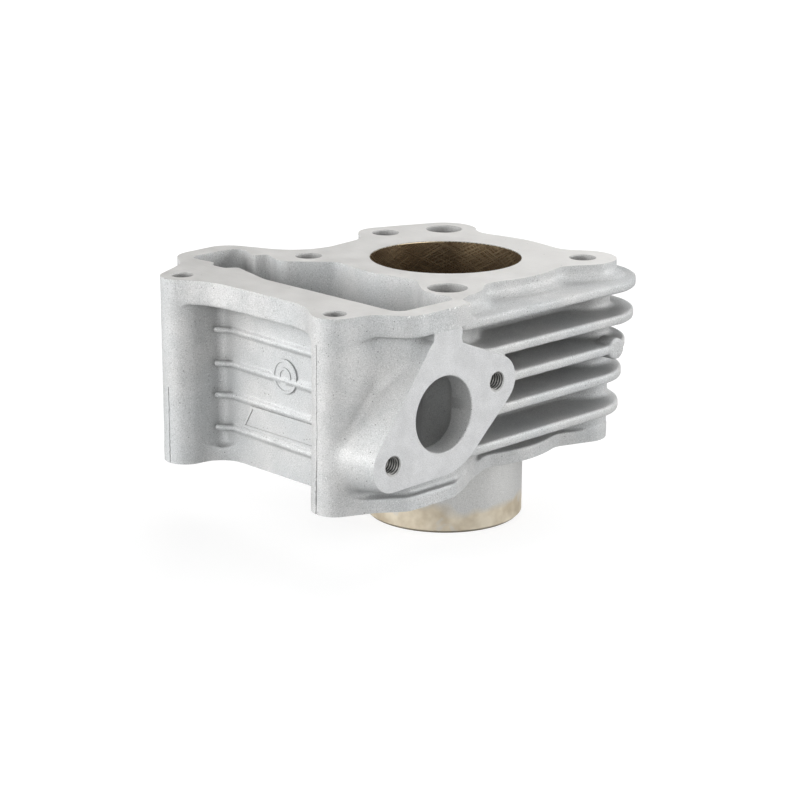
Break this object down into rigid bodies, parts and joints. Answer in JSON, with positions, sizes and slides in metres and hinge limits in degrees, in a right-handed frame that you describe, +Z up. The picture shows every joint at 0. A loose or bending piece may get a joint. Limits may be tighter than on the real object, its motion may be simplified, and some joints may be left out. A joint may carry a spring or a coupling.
{
  "type": "engine cylinder barrel",
  "caption": "Finned aluminium cylinder barrel with plated bore, chain tunnel, stud holes, tensioner flange and spigot.",
  "frame": {"origin": "bottom centre of the bounding box, on the plane of the spigot's end face; the bore axis is at x = 0.0185, y = -0.0067 m and the crankcase gasket face is at z = 0.0265 m", "axes": "+Z up along the bore towards the cylinder head, -X towards the cam chain tunnel, -Y out of the chain tensioner flange"},
  "size_m": [0.1386, 0.1164, 0.0875],
  "materials": {
    "blasted_casting": "shot-blasted as-cast skin, light grey, matt, fine grain with small pits",
    "machined_face": "fine-machined gasket face, slightly warm grey, satin",
    "bore_plating": "thin hard plating, bronze brown, glossy with cross-hatch honing"
  },
  "bodies": {
    "root": {"spigot": "blasted_casting", "barrel": "blasted_casting", "stud_column_front_left": "blasted_casting", "stud_column_front_right": "blasted_casting", "stud_column_rear_right": "blasted_casting", "oil_return_column": "blasted_casting", "stud_column_rear_left": "blasted_casting", "front_case_bolt_column": "blasted_casting", "rear_case_bolt_column": "blasted_casting", "tunnel_outer_wall": "blasted_casting", "tunnel_front_wall": "blasted_casting", "tunnel_rear_wall": "blasted_casting", "cooling_fin_1": "blasted_casting", "cooling_fin_2": "blasted_casting", "cooling_fin_3": "blasted_casting", "cooling_fin_4": "blasted_casting", "cooling_fin_5": "blasted_casting", "head_gasket_flange": "machined_face", "crankcase_gasket_flange": "machined_face", "tensioner_flange": "machined_face", "bore_plating": "bore_plating"}
  },
  "joints": []
}
